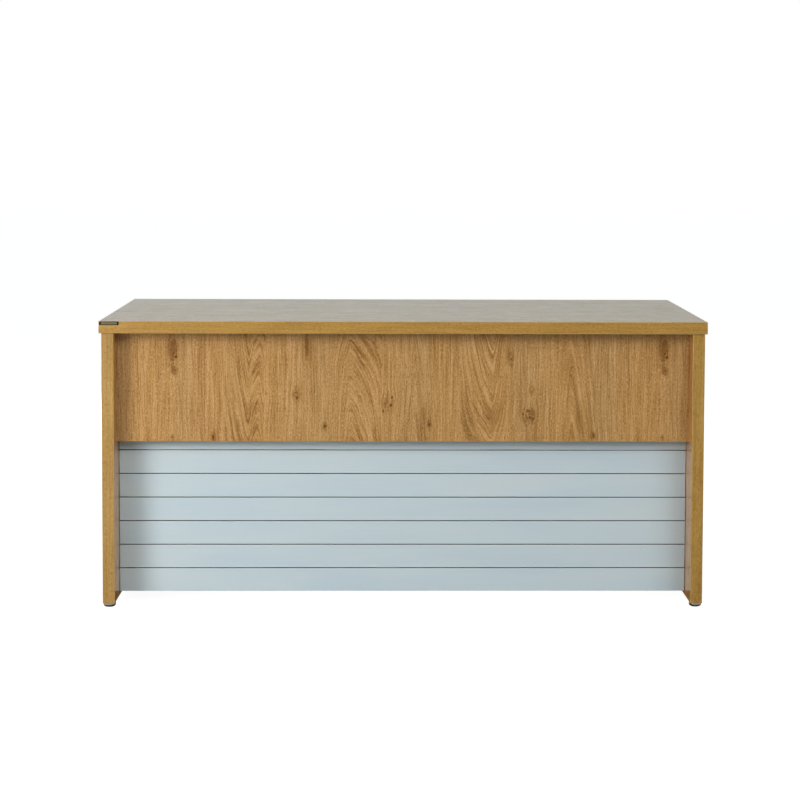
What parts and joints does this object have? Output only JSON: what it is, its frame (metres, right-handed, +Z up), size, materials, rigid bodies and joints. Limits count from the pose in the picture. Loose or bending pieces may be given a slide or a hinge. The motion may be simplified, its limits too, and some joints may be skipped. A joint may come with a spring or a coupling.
{
  "type": "executive desk",
  "caption": "Free-standing executive desk with slab legs, an oak modesty panel, a pale slatted lower screen and levelling glides.",
  "frame": {"origin": "on the floor, under the centre of the desktop", "axes": "+X to the visitor's right along the desktop, +Y from the visitor's side to the user's side, +Z up"},
  "size_m": [1.6, 0.8006, 0.76],
  "materials": {
    "oak_laminate": "knotty oak decor on melamine-faced board, satin",
    "oak_edge_band": "honey oak printed edge band, satin",
    "slat_lacquer": "pale blue-grey satin lacquer on board",
    "zinc_steel": "bright zinc plated",
    "zinc_casting": "plain zinc casting",
    "cap_plastic": "moulded, oak coloured",
    "beech": "bare fluted beech",
    "plate_black": "black anodised",
    "plate_metal": "brushed, bare",
    "nylon_black": "moulded",
    "chrome_plate": "polished"
  },
  "bodies": {
    "desk_frame": {"desktop_upper_board": "oak_laminate", "desktop_lower_board": "oak_laminate", "desktop_front_edge_band": "oak_edge_band", "desktop_rear_edge_band": "oak_edge_band", "desktop_left_edge_band": "oak_edge_band", "desktop_right_edge_band": "oak_edge_band", "left_leg_outer_board": "oak_laminate", "left_leg_inner_board": "oak_laminate", "left_leg_front_edge_band": "oak_edge_band", "left_leg_rear_edge_band": "oak_edge_band", "left_leg_bottom_edge_band": "oak_edge_band", "right_leg_outer_board": "oak_laminate", "right_leg_inner_board": "oak_laminate", "right_leg_front_edge_band": "oak_edge_band", "right_leg_rear_edge_band": "oak_edge_band", "right_leg_bottom_edge_band": "oak_edge_band", "upper_modesty_panel": "oak_laminate", "upper_modesty_panel_edge_band": "oak_edge_band", "screen_slat_1": "slat_lacquer", "screen_slat_2": "slat_lacquer", "screen_slat_3": "slat_lacquer", "screen_slat_4": "slat_lacquer", "screen_slat_5": "slat_lacquer", "screen_slat_6": "slat_lacquer", "screen_slat_7": "slat_lacquer", "left_end_batten": "slat_lacquer", "left_middle_batten": "slat_lacquer", "right_middle_batten": "slat_lacquer", "right_end_batten": "slat_lacquer", "slat_screws": "zinc_steel", "cam_locks": "zinc_casting", "cam_bolts": "zinc_steel", "cam_cover_caps": "cap_plastic", "wood_dowels": "beech", "blank_plate": "plate_black", "blank_plate_inlay": "plate_metal", "foot_inserts": "zinc_steel"},
    "front_left_pad": {"front_left_foot_pad": "nylon_black"},
    "front_left_glide": {"front_left_foot_cup": "chrome_plate", "front_left_foot_stud": "zinc_steel"},
    "front_right_pad": {"front_right_foot_pad": "nylon_black"},
    "front_right_glide": {"front_right_foot_cup": "chrome_plate", "front_right_foot_stud": "zinc_steel"},
    "rear_left_pad": {"rear_left_foot_pad": "nylon_black"},
    "rear_left_glide": {"rear_left_foot_cup": "chrome_plate", "rear_left_foot_stud": "zinc_steel"},
    "rear_right_pad": {"rear_right_foot_pad": "nylon_black"},
    "rear_right_glide": {"rear_right_foot_cup": "chrome_plate", "rear_right_foot_stud": "zinc_steel"}
  },
  "joints": [
    {"name": "front_left_foot_travel", "type": "slide", "parent": "desk_frame", "child": "front_left_pad", "axis": [0, 0, -1], "range_m": [0, 0.01]},
    {"name": "front_left_foot_turn", "type": "hinge", "parent": "front_left_pad", "child": "front_left_glide", "pos_m": [-0.778, -0.374, 0.005], "axis": [0, 0, -1], "range_deg": [0, 2880]},
    {"name": "front_right_foot_travel", "type": "slide", "parent": "desk_frame", "child": "front_right_pad", "axis": [0, 0, -1], "range_m": [0, 0.01]},
    {"name": "front_right_foot_turn", "type": "hinge", "parent": "front_right_pad", "child": "front_right_glide", "pos_m": [0.778, -0.374, 0.005], "axis": [0, 0, -1], "range_deg": [0, 2880]},
    {"name": "rear_left_foot_travel", "type": "slide", "parent": "desk_frame", "child": "rear_left_pad", "axis": [0, 0, -1], "range_m": [0, 0.01]},
    {"name": "rear_left_foot_turn", "type": "hinge", "parent": "rear_left_pad", "child": "rear_left_glide", "pos_m": [-0.778, 0.374, 0.005], "axis": [0, 0, -1], "range_deg": [0, 2880]},
    {"name": "rear_right_foot_travel", "type": "slide", "parent": "desk_frame", "child": "rear_right_pad", "axis": [0, 0, -1], "range_m": [0, 0.01]},
    {"name": "rear_right_foot_turn", "type": "hinge", "parent": "rear_right_pad", "child": "rear_right_glide", "pos_m": [0.778, 0.374, 0.005], "axis": [0, 0, -1], "range_deg": [0, 2880]}
  ],
  "couplings": [
    {"joint": "front_left_foot_turn", "follows": "front_left_foot_travel", "rad_per_m": 5026.5},
    {"joint": "front_right_foot_turn", "follows": "front_right_foot_travel", "rad_per_m": 5026.5},
    {"joint": "rear_left_foot_turn", "follows": "rear_left_foot_travel", "rad_per_m": 5026.5},
    {"joint": "rear_right_foot_turn", "follows": "rear_right_foot_travel", "rad_per_m": 5026.5}
  ]
}
